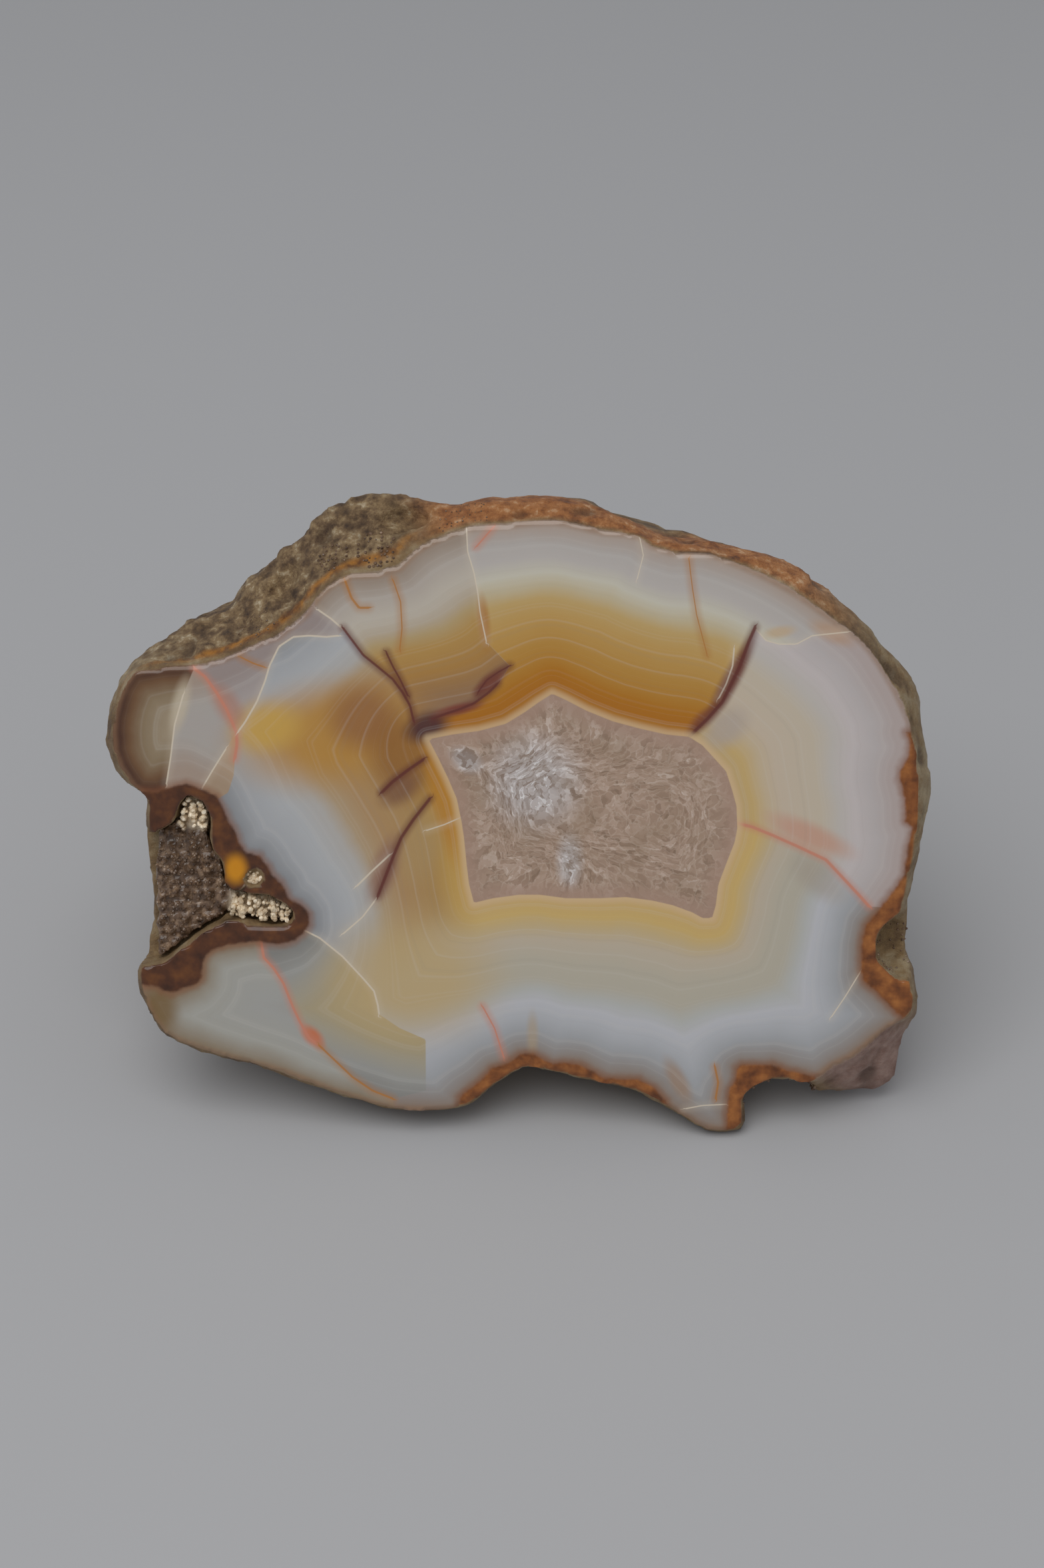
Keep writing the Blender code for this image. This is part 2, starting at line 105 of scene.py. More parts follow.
# Healed cracks: kind, half width, points from end to end
cracks = [
    ("pale", 0.05, [(-4.3, 23.9), (-4.2, 21.9), (-3.7, 20.2), (-3.4, 18.6), (-3.2, 16.9), (-2.7, 14.5)]),
    ("pale", 0.07, [(-16.4, 17.1), (-15.4, 16.4), (-14.5, 15.6)]),
    ("maroon", 0.09, [(-14.4, 15.6), (-13.6, 14.5), (-12.8, 13.4), (-11.7, 12.5), (-10.4, 11.4),
                      (-9.6, 10.3), (-9.0, 9.2), (-8.7, 7.9)]),
    ("maroon", 0.07, [(-10.9, 13.6), (-10.4, 12.5), (-9.8, 11.4), (-9.2, 10.1)]),
    ("maroon", 0.09, [(-7.1, 8.1), (-6.1, 8.5), (-4.9, 8.9), (-3.7, 9.4), (-2.5, 10.3), (-1.8, 11.0)]),
    ("maroon", 0.06, [(-3.4, 10.3), (-2.7, 11.3), (-1.7, 12.0), (-0.8, 12.5)]),
    ("maroon", 0.13, [(19.3, 15.7), (18.8, 14.5), (18.1, 12.5), (17.5, 11.2), (16.7, 9.5), (15.5, 8.1),
                      (14.1, 6.7)]),
    ("pale", 0.06, [(17.6, 13.9), (17.5, 12.5), (17.0, 11.0), (16.4, 9.8)]),
    ("pink", 0.12, [(18.1, -0.7), (19.3, -1.0), (21.0, -1.7), (23.2, -2.7), (25.5, -3.8), (26.9, -5.3),
                    (28.3, -6.8), (29.2, -7.8)]),
    ("maroon", 0.12, [(-11.4, 1.9), (-10.5, 2.8), (-9.2, 3.8), (-7.9, 4.7)]),
    ("maroon", 0.12, [(-7.4, 1.4), (-8.8, -0.4), (-9.8, -1.9), (-10.4, -3.3), (-11.1, -5.1), (-11.8, -6.9)]),
    ("pale", 0.07, [(-10.7, -3.3), (-12.2, -4.7), (-13.6, -6.1)]),
    ("pale", 0.06, [(-11.9, -7.1), (-13.1, -8.7), (-14.8, -10.2)]),
    ("pale", 0.05, [(-7.7, -1.3), (-6.2, -0.8), (-4.4, 0.0), (-3.0, 0.6)]),
    ("pink", 0.10, [(-21.6, -10.8), (-21.4, -12.2), (-20.6, -13.1), (-19.8, -14.4), (-19.1, -16.3),
                    (-18.5, -17.7), (-17.7, -19.2), (-16.8, -19.9)]),
    ("ochre", 0.08, [(-16.8, -19.9), (-15.7, -21.0), (-14.1, -22.6), (-12.4, -23.8), (-10.7, -24.5)]),
    ("pale", 0.07, [(-18.8, -9.4), (-16.7, -10.5), (-14.8, -12.1), (-13.1, -14.0), (-12.2, -15.1),
                    (-11.9, -16.3), (-11.8, -17.1)]),
    ("pale", 0.07, [(-14.8, 15.0), (-15.8, 14.9), (-17.2, 15.0), (-18.5, 14.9), (-19.7, 14.1),
                    (-20.5, 12.5), (-20.9, 11.2), (-21.6, 9.5), (-22.6, 7.8), (-23.2, 7.0)]),
    ("pink", 0.12, [(-26.7, 12.3), (-25.8, 11.6), (-24.9, 10.3), (-24.1, 8.9), (-23.6, 7.7),
                    (-23.3, 6.9), (-23.3, 5.9), (-23.5, 4.7)]),
    ("pale", 0.06, [(-24.2, 5.6), (-25.4, 3.7), (-26.3, 2.2)]),
    ("ochre", 0.06, [(-22.8, 13.2), (-21.8, 12.7), (-20.9, 12.4)]),
    ("pale", 0.06, [(-27.6, 10.2), (-28.4, 7.6), (-28.8, 4.8), (-29.2, 2.6)]),
    ("ochre", 0.09, [(-14.2, 19.5), (-13.7, 18.1), (-13.1, 17.3), (-12.3, 17.3)]),
    ("ochre", 0.05, [(-10.3, 19.6), (-9.7, 17.8), (-9.6, 15.6), (-9.8, 13.8)]),
    ("pale", 0.04, [(9.7, 23.5), (10.1, 21.6), (9.6, 19.6)]),
    ("ochre", 0.04, [(13.8, 21.4), (14.1, 19.1), (14.5, 16.7), (15.4, 13.4)]),
    ("pink", 0.06, [(-2.1, 23.9), (-2.8, 23.1), (-3.5, 22.3)]),
    ("pale", 0.05, [(19.4, 15.5), (20.2, 14.6), (21.3, 14.3), (22.7, 14.3), (24.0, 15.0), (26.8, 15.3)]),
    ("pale", 0.05, [(28.6, -13.4), (27.4, -15.5), (26.2, -17.4)]),
    ("pink", 0.06, [(-3.1, -16.4), (-2.1, -18.3), (-1.3, -20.9)]),
    ("ochre", 0.08, [(16.5, -21.7), (16.8, -23.1), (16.6, -24.5)]),
    ("pale", 0.05, [(14.0, -25.4), (15.5, -25.1), (17.5, -25.0)]),
]
crackColours = dict(pale=seen(184, 172, 154), maroon=seen(84, 40, 34), pink=seen(172, 112, 92),
                    ochre=seen(150, 100, 48))
crackHalos = dict(pale=0.15, maroon=0.6, pink=0.45, ochre=0.4)   # how strongly each tints the stone beside it

# Zones between the cracks: outline, softness of the edge, colours from the core to the rim
zones = dict(
    left=dict(soft=2.2, outline=[
        (-5.0, -9.1), (-10.0, -12.2), (-13.4, -14.3), (-19.6, -14.5), (-28, -9.9), (-28, 7.0),
        (-20.7, 17), (-12.0, 14.7), (-6.6, 9.2), (-4.4, 6.4)],
        colours=[(0.03, 165, 124, 48), (0.12, 158, 124, 66), (0.22, 148, 118, 74), (0.42, 148, 118, 82),
                 (0.54, 150, 130, 104), (0.62, 151, 147, 142), (0.74, 150, 151, 152), (0.88, 140, 141, 143),
                 (0.97, 118, 119, 121)]),
    top=dict(soft=0.05, outline=[
        (-0.8, 12.5), (-1.7, 11.0), (-2.5, 10.3), (-3.7, 9.4), (-4.9, 8.9), (-6.1, 8.5), (-7.1, 8.1),
        (-7.4, 7.3), (-7.5, 6.3), (3.3, 1.4), (14.1, 6.7), (15.5, 8.1), (16.7, 9.5), (17.5, 11.2),
        (18.1, 12.5), (18.8, 14.5), (19.3, 15.7), (20.2, 14.6), (21.3, 14.3), (22.7, 14.3), (24.0, 15.0),
        (26.8, 15.3), (30.0, 15.3), (29.6, 28.9), (-4.4, 28.9), (-4.3, 23.9), (-4.2, 21.9), (-3.7, 20.2),
        (-3.4, 18.6), (-3.2, 16.9), (-2.7, 14.5)],
        colours=[(0.03, 148, 98, 30), (0.08, 147, 92, 14), (0.14, 149, 97, 20), (0.20, 152, 107, 40),
                 (0.29, 155, 115, 52), (0.46, 162, 129, 74), (0.56, 164, 138, 90), (0.63, 165, 152, 124),
                 (0.71, 170, 165, 150), (0.80, 158, 152, 147), (0.88, 154, 148, 143), (0.97, 148, 134, 124)]),
    upperLeft=dict(soft=0.05, outline=[
        (-16.4, 17.1), (-14.4, 15.6), (-13.6, 14.5), (-12.8, 13.4), (-11.7, 12.5), (-10.4, 11.4),
        (-9.6, 10.3), (-9.0, 9.2), (-8.7, 7.9), (-7.1, 8.1), (-6.1, 8.5), (-4.9, 8.9), (-3.7, 9.4),
        (-2.5, 10.3), (-1.7, 11.0), (-0.8, 12.5), (-2.7, 14.5), (-3.2, 16.9), (-3.4, 18.6), (-3.7, 20.2),
        (-4.2, 21.9), (-4.3, 23.9), (-4.4, 26.7), (-15.1, 23.5), (-17.4, 18.6)],
        colours=[(0.15, 122, 96, 76), (0.27, 132, 100, 66), (0.38, 146, 109, 58), (0.53, 154, 121, 68),
                 (0.60, 154, 133, 96), (0.67, 157, 145, 128), (0.75, 163, 155, 143), (0.86, 152, 143, 134),
                 (0.96, 134, 120, 108)]),
    right=dict(soft=0.05, outline=[
        (14.1, 6.7), (15.5, 8.1), (16.7, 9.5), (17.5, 11.2), (18.1, 12.5), (18.8, 14.5), (19.3, 15.7),
        (20.2, 14.6), (21.3, 14.3), (22.7, 14.3), (24.0, 15.0), (26.8, 15.3), (30.0, 15.3), (35.4, 14.7),
        (36.1, -8.2), (29.2, -7.8), (28.3, -6.8), (26.9, -5.3), (25.5, -3.8), (23.2, -2.7), (21.0, -1.7),
        (19.3, -1.0), (18.1, -0.7), (15.4, 1.4)],
        colours=[(0.03, 165, 141, 99), (0.10, 169, 144, 96), (0.19, 168, 151, 124), (0.28, 168, 154, 136),
                 (0.50, 166, 155, 138), (0.60, 163, 157, 150), (0.70, 167, 159, 157), (0.82, 158, 151, 149),
                 (0.93, 152, 140, 136)]),
    outerLeft=dict(soft=0.05, outline=[
        (-14.4, 15.6), (-15.4, 16.4), (-16.4, 17.1), (-17.4, 19.1), (-24.5, 14.7), (-26.7, 12.3),
        (-25.8, 11.6), (-24.9, 10.3), (-24.1, 8.9), (-23.6, 7.7), (-23.2, 6.9), (-22.6, 7.8),
        (-21.6, 9.5), (-20.9, 11.2), (-20.5, 12.5), (-19.7, 14.1), (-18.5, 14.9), (-17.2, 15.0),
        (-15.8, 14.9), (-14.8, 15.0)],
        colours=[(0.60, 146, 138, 130), (0.80, 144, 136, 133), (0.93, 130, 118, 114)]),
    leftMiddle=dict(soft=0.05, outline=[
        (-26.7, 12.3), (-25.8, 11.6), (-24.9, 10.3), (-24.1, 8.9), (-23.6, 7.7), (-23.3, 6.9),
        (-24.2, 5.6), (-25.4, 3.7), (-26.3, 2.2), (-28.1, 0.8), (-29.2, 2.0), (-29.2, 2.6),
        (-28.8, 4.8), (-28.4, 7.6), (-27.6, 10.2)],
        colours=[(0.70, 146, 138, 134), (0.84, 146, 140, 134), (0.94, 140, 124, 112)]),
    pinkWedge=dict(soft=0.05, outline=[
        (-23.3, 7.1), (-24.2, 5.6), (-25.4, 3.7), (-26.3, 2.2), (-25.4, 1.1), (-24.1, 1.9),
        (-23.6, 3.4), (-23.5, 4.7), (-23.2, 5.9)],
        colours=[(0.68, 168, 130, 120), (0.78, 158, 140, 124), (0.95, 140, 120, 100)]),
    leftEnd=dict(soft=0.05, outline=[
        (-26.7, 12.3), (-27.6, 10.2), (-28.4, 7.6), (-28.8, 4.8), (-29.2, 2.6), (-29.5, 1.4),
        (-37, 1.4), (-37, 15), (-26.7, 15)],
        colours=[(0.84, 134, 120, 100), (0.90, 118, 102, 80), (0.95, 96, 70, 48), (0.985, 66, 42, 30)]),
    lowerLeft=dict(soft=0.05, outline=[
        (-22.3, -10.2), (-21.6, -10.8), (-21.4, -12.2), (-20.6, -13.1), (-19.8, -14.4), (-19.1, -16.3),
        (-18.5, -17.7), (-17.7, -19.2), (-16.8, -19.9), (-15.7, -21.0), (-14.1, -22.6), (-12.4, -23.8),
        (-10.7, -24.5), (-10.2, -28), (-37, -28), (-37, -10.2)],
        colours=[(0.66, 130, 124, 118), (0.80, 139, 138, 134), (0.92, 141, 139, 132), (0.99, 118, 104, 86)]),
    betweenCracks=dict(soft=0.05, outline=[
        (-18.8, -9.4), (-16.7, -10.5), (-14.8, -12.1), (-13.1, -14.0), (-12.2, -15.1), (-11.9, -16.3),
        (-11.8, -17.1), (-10.1, -18.3), (-7.9, -19.3), (-7.9, -23.8), (-10.7, -24.5), (-12.4, -23.8),
        (-14.1, -22.6), (-15.7, -21.0), (-16.8, -19.9), (-17.7, -19.2), (-18.5, -17.7), (-19.1, -16.3),
        (-19.8, -14.4), (-20.6, -13.1), (-21.4, -12.2), (-21.6, -10.8)],
        colours=[(0.60, 154, 138, 104), (0.70, 148, 134, 104), (0.78, 141, 134, 118), (0.86, 132, 131, 127),
                 (0.96, 114, 112, 108)]),
)
baseColours = [(0.02, 172, 144, 96), (0.11, 174, 147, 92), (0.19, 166, 147, 112), (0.27, 162, 150, 132),
               (0.40, 156, 149, 134), (0.52, 154, 148, 134), (0.60, 154, 154, 150), (0.67, 160, 160, 163),
               (0.75, 152, 153, 156), (0.84, 139, 140, 142), (0.93, 126, 120, 116), (1.00, 118, 100, 86)]

# Stains soaked in along the cracks, and two blobs of painted shadow beside cracks: middle, half sizes, turn
# in degrees, colour, strength
stainsAndShadows = [
    ((-15.4, 6.8), (9.5, 5.2), 10, (156, 115, 54), 0.95),
    ((-20.8, 7.4), (3.6, 2.6), 12, (172, 137, 66), 0.9),
    # painted shadow: a brown shaded patch beside the maroon cracks at the upper left of the core
    ((-12.9, 8.2), (3.6, 3.4), 0, (126, 86, 54), 0.8),
    ((-9.4, 4.9), (3.8, 4.6), 15, (120, 78, 36), 0.75),
    ((-6.4, 1.5), (1.3, 6.5), 12, (158, 108, 36), 0.8),
    ((-7.6, 7.4), (2.3, 1.5), 20, (66, 38, 40), 0.95),
    ((-5.0, 8.9), (2.4, 0.55), 12, (120, 60, 46), 0.85),
    ((-2.4, 11.1), (2.0, 0.75), 40, (110, 58, 44), 0.85),
    ((17.4, 11.4), (0.9, 4.6), -28, (98, 52, 40), 0.9),
    ((15.2, 8.1), (2.0, 0.8), 42, (112, 64, 42), 0.8),
    ((17.0, 7.3), (2.6, 1.8), 40, (152, 140, 130), 0.8),
    ((24.1, -1.7), (4.6, 1.3), -24, (168, 130, 112), 0.85),
    ((25.0, -5.4), (3.4, 1.8), -38, (143, 133, 121), 0.6),
    ((-9.0, -13.8), (8.5, 6.5), 0, (164, 142, 102), 0.85),
    ((-11.2, -4.6), (1.4, 3.6), -20, (120, 87, 75), 0.8),
    # painted shadow under the short maroon crack left of the core
    ((-9.9, 2.2), (2.4, 1.4), 38, (106, 74, 56), 0.75),
    ((-8.2, -2.6), (2.2, 4.0), -14, (150, 124, 84), 0.6),
    ((-2.9, 16.2), (0.6, 2.6), 6, (146, 96, 38), 0.8),
    ((-17.4, -19.0), (1.4, 0.8), -45, (172, 92, 56), 0.85),
    ((-27.9, 9.2), (0.9, 2.8), -14, (164, 152, 132), 0.8),
    ((-24.0, 9.2), (1.3, 2.6), 32, (150, 104, 86), 0.6),
    ((-30.2, -16.6), (1.8, 2.4), 20, (100, 76, 38), 0.75),
    ((1.1, -18.9), (0.6, 2.4), 0, (150, 132, 108), 0.6),
    ((13.4, -22.9), (0.9, 2.6), 28, (136, 108, 84), 0.65),
    ((21.3, 15.3), (1.6, 0.6), 10, (168, 144, 112), 0.7),
    ((25.6, 15.2), (2.4, 0.9), -25, (158, 124, 96), 0.6),
]


# Fields over the polished face, worked out at each point of the mesh
farAway = 1e9                        # more than any distance on the stone


def lineField(points, line, closed):
    # distance to the line, and the same with a sign for the side that the point is on
    line = np.array(line, float)
    after = np.roll(line, -1, 0) if closed else line[1:]
    best = np.full(len(points), farAway)
    side = np.ones(len(points))
    for start, end in zip(line, after):
        run = end - start
        away = points - start
        part = np.clip(away @ run / (run @ run), 0, 1)
        distance = np.hypot(*(away - part[:, None] * run).T)
        nearer = distance < best
        best[nearer] = distance[nearer]
        side[nearer] = np.sign(run[0] * away[nearer, 1] - run[1] * away[nearer, 0])
    return best, best * side


def zoneField(points, outline):
    # distance to the outline, above zero inside it
    outline = np.array(outline, float)
    distance, _ = lineField(points, outline, True)
    inside = np.zeros(len(points), bool)
    for start, end in zip(outline, np.roll(outline, -1, 0)):
        if start[1] == end[1]:
            continue
        crosses = (start[1] > points[:, 1]) != (end[1] > points[:, 1])
        reach = start[0] + (points[:, 1] - start[1]) * (end[0] - start[0]) / (end[1] - start[1])
        inside ^= crosses & (points[:, 0] < reach)
    return np.where(inside, distance, -distance)


def eased(value, low, high):
    part = np.clip((value - low) / (high - low), 0, 1)
    return part * part * (3 - 2 * part)


# How a healed crack is drawn: its line in half widths, its halo in millimetres
crackLook = dict(apart=1.5, farthest=9.0, sides=30.0, fade=(0.25, 0.5), line=(0.5, 1.6), lineStrength=0.85,
                 haloReach=0.7)


def crackChannels():
    # neighbouring cracks of a kind go to different channels, so that their sides don't mix
    channels = []
    for kind, width, line in cracks:
        spread = np.array(line)
        for channel in channels:
            if channel["kind"] == kind and all(
                    lineField(spread, other, False)[0].min() > crackLook["apart"]
                    for _, other in channel["lines"]):
                channel["lines"].append((width, line))
                break
        else:
            channels.append(dict(kind=kind, lines=[(width, line)]))
    return channels


def crackField(points, channel):
    # across the crack in half widths, distance in millimetres, and strength along it
    sides = crackLook["sides"]
    across = np.full(len(points), sides)
    nearest = np.full(len(points), crackLook["farthest"])
    for width, line in channel["lines"]:
        distance, signed = lineField(points, line, False)
        nearer = distance < nearest
        across[nearer] = np.clip(signed[nearer] / width, -sides, sides)
        nearest[nearer] = distance[nearer]
    return np.stack([across, nearest, 1 - eased(nearest, *crackLook["fade"])], 1)


# Mesh helpers
mergeDistance = 1e-6


def nodeMesh(node):
    # the node's loose triangles merged, in face coordinates
    bm = bmesh.new()
    bm.from_mesh(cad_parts[node].data)
    bmesh.ops.remove_doubles(bm, verts=bm.verts, dist=mergeDistance)
    bm.transform(toFace)
    return bm


def placedObject(bm, name):
    mesh = bpy.data.meshes.new(name)
    bm.to_mesh(mesh)
    bm.free()
    item = bpy.data.objects.new(name, mesh)
    bpy.context.scene.collection.objects.link(item)
    return item


def remeshed(item, voxel):
    step = item.modifiers.new("evenGrid", "REMESH")
    step.mode = "VOXEL"
    step.voxel_size = voxel
    depsgraph = bpy.context.evaluated_depsgraph_get()
    fresh = bpy.data.meshes.new_from_object(item.evaluated_get(depsgraph))
    item.modifiers.clear()
    item.data = fresh
    return item


def coordinates(mesh):
    found = np.empty(len(mesh.vertices) * 3)
    mesh.vertices.foreach_get("co", found)
    return found.reshape(-1, 3)


def turned(places, matrix):
    return np.array([matrix @ Vector(place) for place in places])


def keepField(mesh, name, values):
    layer = mesh.attributes.new(name, "FLOAT_VECTOR", "POINT")
    layer.data.foreach_set("vector", np.asarray(values, np.float32).ravel())


# The nodule: its grid, the grains of its natural skin, and where along the rim it is broken or striped
body = dict(
    voxel=0.48, snap=0.2, flatness=0.02, behindFace=0.02, leastPush=0.001, leastBand=0.001,
    shortest=0.001, zoneReach=4,
    skinDepth=(0.15, 0.9), aboveFloor=(0.1 * mm, 0.8 * mm),
    slopeAngles=[104, 116, 152, 166], slopeDepth=(0.3, 1.2), slopeEnd=(7, 10),
    rimAngles=[28, 40, 104, 112], rimDepth=(0.2, 0.6), rimEnd=(5, 8),
    chipStart=(316, 320), chipEnd=(-334, -328),
)
grains = dict(
    rough=dict(size=1.9, height=0.20, shift=Vector((0, 0, 0))),
    fine=dict(size=0.85, height=0.09, shift=Vector((7, 3, 1))),
    grit=dict(size=0.42, height=0.045, shift=Vector((2, 9, 4))),
)
pits = dict(size=2.6, over=0.28, depth=1.0, shift=Vector((5, 5, 8)))
plates = dict(size=1.5, level=0.35, height=0.45)
strands = dict(round=55, along=0.5, height=0.07)
hardlyThere = 0.01


def skinHeight(place, slope, rim):
    # how far the natural outside stands out, in millimetres
    height = sum(noise.noise(place / grain["size"] + grain["shift"]) * grain["height"]
                 for grain in grains.values())
    pitted = noise.noise(place / pits["size"] + pits["shift"]) - pits["over"]
    height -= max(0.0, pitted) * pits["depth"]
    if slope > hardlyThere:
        near = noise.voronoi(place / plates["size"])[0]
        height += slope * plates["height"] * (near[1] - near[0] - plates["level"])
    if rim > hardlyThere:
        angle = math.atan2(place.y, place.x) * strands["round"]
        height += rim * strands["height"] * noise.noise(Vector((angle, place.z * strands["along"], 0)))
    return height


def rimRuns():
    # the runs of the polished face's edge, the hollow's edge among them
    bm = nodeMesh("agate_nodule")
    flat = {face for face in bm.faces if all(abs(vert.co.z) < body["flatness"] for vert in face.verts)}
    runs = [[tuple(vert.co.xy) for vert in edge.verts] for edge in bm.edges
            if sum(face in flat for face in edge.link_faces) == 1]
    bm.free()
    return runs


def flattenFace(mesh):
    # the polished face is made truly flat, with a finer grid for its pattern
    bm = bmesh.new()
    bm.from_mesh(mesh)
    for vert in bm.verts:
        if abs(vert.co.z) < body["snap"]:
            vert.co.z = 0.0
    flat = {face for face in bm.faces if all(vert.co.z == 0 for vert in face.verts)}
    edges = [edge for edge in bm.edges if any(face in flat for face in edge.link_faces)]
    bmesh.ops.subdivide_edges(bm, edges=edges, cuts=1, use_grid_fill=True)
    bmesh.ops.dissolve_degenerate(bm, dist=body["shortest"], edges=bm.edges)     # points that met on the face
    bm.normal_update()
    bm.to_mesh(mesh)
    bm.free()


def roughenSkin(mesh, places, depth, slope, rim):
    # pushes the outside along its normals, and keeps it inside the CAD box and off the resting spot
    normals = np.empty(len(mesh.vertices) * 3)
    mesh.vertices.foreach_get("normal", normals)
    aboveFloor = eased(turned(places, toWorld)[:, 2], *body["aboveFloor"])
    free = eased(depth, *body["skinDepth"]) * aboveFloor
    heights = np.zeros(len(places))
    for index in np.nonzero(free > body["leastPush"])[0]:
        heights[index] = skinHeight(Vector(places[index]), slope[index], rim[index])
    heights *= free
    moved = turned(places + normals.reshape(-1, 3) * heights[:, None], toWorld)
    mesh.vertices.foreach_set("co", np.clip(moved, np.array(cadBox[0]), np.array(cadBox[1])).ravel())
    return heights


def makeBody(channels):
    item = remeshed(placedObject(nodeMesh("agate_nodule"), "agate_body"), body["voxel"])
    mesh = item.data
    flattenFace(mesh)
    places = coordinates(mesh)
    points = places[:, :2]
    depth = -places[:, 2]
    angle = np.degrees(np.arctan2(points[:, 1], points[:, 0])) % 360
    slope = np.interp(angle, body["slopeAngles"], [0, 1, 1, 0]) * eased(depth, *body["slopeDepth"])
    slope *= 1 - eased(depth, *body["slopeEnd"])
    rim = np.interp(angle, body["rimAngles"], [0, 1, 1, 0]) * eased(depth, *body["rimDepth"])
    rim *= 1 - eased(depth, *body["rimEnd"])
    chip = eased(angle, *body["chipStart"]) * eased(-angle, *body["chipEnd"])
    heights = roughenSkin(mesh, places, depth, slope, rim)
    coreDistance = -zoneField(points, coreEdge)
    brown = np.max([zoneField(points, edge) for edge in brownEdges.values()], axis=0)
    rimDistance = np.full(len(points), farAway)
    for run in rimRuns():
        rimDistance = np.minimum(rimDistance, lineField(points, run, False)[0])
    banded = np.minimum(rimDistance, np.maximum(-brown, 0))
    outward = np.maximum(coreDistance, 0)
    share = outward / (outward + banded + body["leastBand"])      # 0 at the core, 1 at the rim
    keepField(mesh, "bands", np.stack([coreDistance, share, rimDistance], 1))
    behind = np.where(depth > body["behindFace"], depth, 0)
    keepField(mesh, "marks", np.stack([brown, behind, heights], 1))
    keepField(mesh, "skins", np.stack([slope, rim, chip], 1))
    reach = body["zoneReach"]
    fields = [np.clip(zoneField(points, zone["outline"]), -reach, reach) for zone in zones.values()]
    fields += [np.zeros(len(points))] * (-len(fields) % 3)
    for index in range(0, len(fields), 3):
        keepField(mesh, f"zones{index // 3}", np.stack(fields[index:index + 3], 1))
    for index, channel in enumerate(channels):
        keepField(mesh, f"cracks{index}", crackField(points, channel))
    mesh.update()
    mesh.shade_smooth()
    print("body made,", len(mesh.polygons), "faces")
    return item


# Node helpers
def add(tree, kind, values=None, **settings):
    fresh = tree.nodes.new(kind)
    for key, value in settings.items():
        setattr(fresh, key, value)
    for key, value in (values or {}).items():
        feed(tree, fresh.inputs[key], value)
    return fresh


def feed(tree, socket, value):
    if isinstance(value, bpy.types.NodeSocket):
        tree.links.new(value, socket)
    elif isinstance(value, tuple) and len(value) == 3 and socket.type == "RGBA":
        socket.default_value = (*value, 1)
    else:
        socket.default_value = value


def mix(tree, factor, first, second):
    return add(tree, "ShaderNodeMix", {0: factor, 6: first, 7: second}, data_type="RGBA").outputs[2]


def calc(tree, operation, first, second=0.0):
    return add(tree, "ShaderNodeMath", {0: first, 1: second}, operation=operation).outputs[0]


def times(tree, first, second):
    return calc(tree, "MULTIPLY", first, second)


def plus(tree, first, second):
    return calc(tree, "ADD", first, second)


def vector(tree, operation, first, second=None, output=0, **values):
    given = {0: first, **values}
    if second is not None:
        given[1] = second
    return add(tree, "ShaderNodeVectorMath", given, operation=operation).outputs[output]


def ease(tree, value, low, high):
    return add(tree, "ShaderNodeMapRange", {"Value": value, "From Min": low, "From Max": high},
               interpolation_type="SMOOTHSTEP").outputs[0]


def falls(tree, value, low, high):
    return calc(tree, "SUBTRACT", 1.0, ease(tree, value, low, high))


def ramp(tree, value, colours):
    fresh = add(tree, "ShaderNodeValToRGB", {"Fac": value})
    elements = fresh.color_ramp.elements
    elements[0].position = colours[0][0]
    elements[0].color = (*seen(*colours[0][1:]), 1)
    elements[1].position = colours[-1][0]
    elements[1].color = (*seen(*colours[-1][1:]), 1)
    for place, *colour in colours[1:-1]:
        elements.new(place).color = (*seen(*colour), 1)
    return fresh.outputs[0]


def parts(tree, name):
    field = add(tree, "ShaderNodeAttribute", attribute_name=name)
    return add(tree, "ShaderNodeSeparateXYZ", {0: field.outputs["Vector"]}).outputs


def facePlace(tree):
    place = add(tree, "ShaderNodeTexCoord").outputs["Object"]
    return add(tree, "ShaderNodeMapping", {"Vector": place, "Location": tuple(faceMiddle),
                                           "Rotation": (faceTurn, 0, 0), "Scale": (mm, mm, mm)},
               vector_type="TEXTURE").outputs[0]


def cloud(tree, place, scale, detail=2.0, rough=0.5):
    return add(tree, "ShaderNodeTexNoise", {"Vector": place, "Scale": scale, "Detail": detail,
                                            "Roughness": rough}).outputs["Fac"]


blobEdge = (0.3, 1.15)              # a blob is full up to the first of its radius, and gone at the second


def blobGroup():
    # how much of a blob is left at a place, for stains, painted shadows and white clusters: full in its
    # middle, nothing at its edge
    tree = bpy.data.node_groups.new("softBlob", "ShaderNodeTree")
    for name, kind in (("Place", "NodeSocketVector"), ("Middle", "NodeSocketVector"),
                       ("Size", "NodeSocketVector"), ("Turn", "NodeSocketVector"),
                       ("Strength", "NodeSocketFloat")):
        tree.interface.new_socket(name, in_out="INPUT", socket_type=kind)
    tree.interface.new_socket("Stain", in_out="OUTPUT", socket_type="NodeSocketFloat")
    given = add(tree, "NodeGroupInput").outputs
    local = add(tree, "ShaderNodeMapping", {"Vector": given["Place"], "Location": given["Middle"],
                                            "Rotation": given["Turn"], "Scale": given["Size"]},
                vector_type="TEXTURE").outputs[0]
    flat = vector(tree, "MULTIPLY", local, (1, 1, 0))
    reach = vector(tree, "LENGTH", flat, output="Value")
    left = times(tree, falls(tree, reach, *blobEdge), given["Strength"])
    tree.links.new(left, add(tree, "NodeGroupOutput").inputs["Stain"])
    return tree


def blobAmount(tree, group, place, middle, size, turn, strength):
    # the blob group with its middle, half sizes, turn in degrees and strength
    amount = add(tree, "ShaderNodeGroup", node_tree=group)
    feed(tree, amount.inputs["Place"], place)
    feed(tree, amount.inputs["Middle"], (*middle, 0))
    feed(tree, amount.inputs["Size"], (*size, 1))
    feed(tree, amount.inputs["Turn"], (0, 0, math.radians(turn)))
    feed(tree, amount.inputs["Strength"], strength)
    return amount.outputs[0]


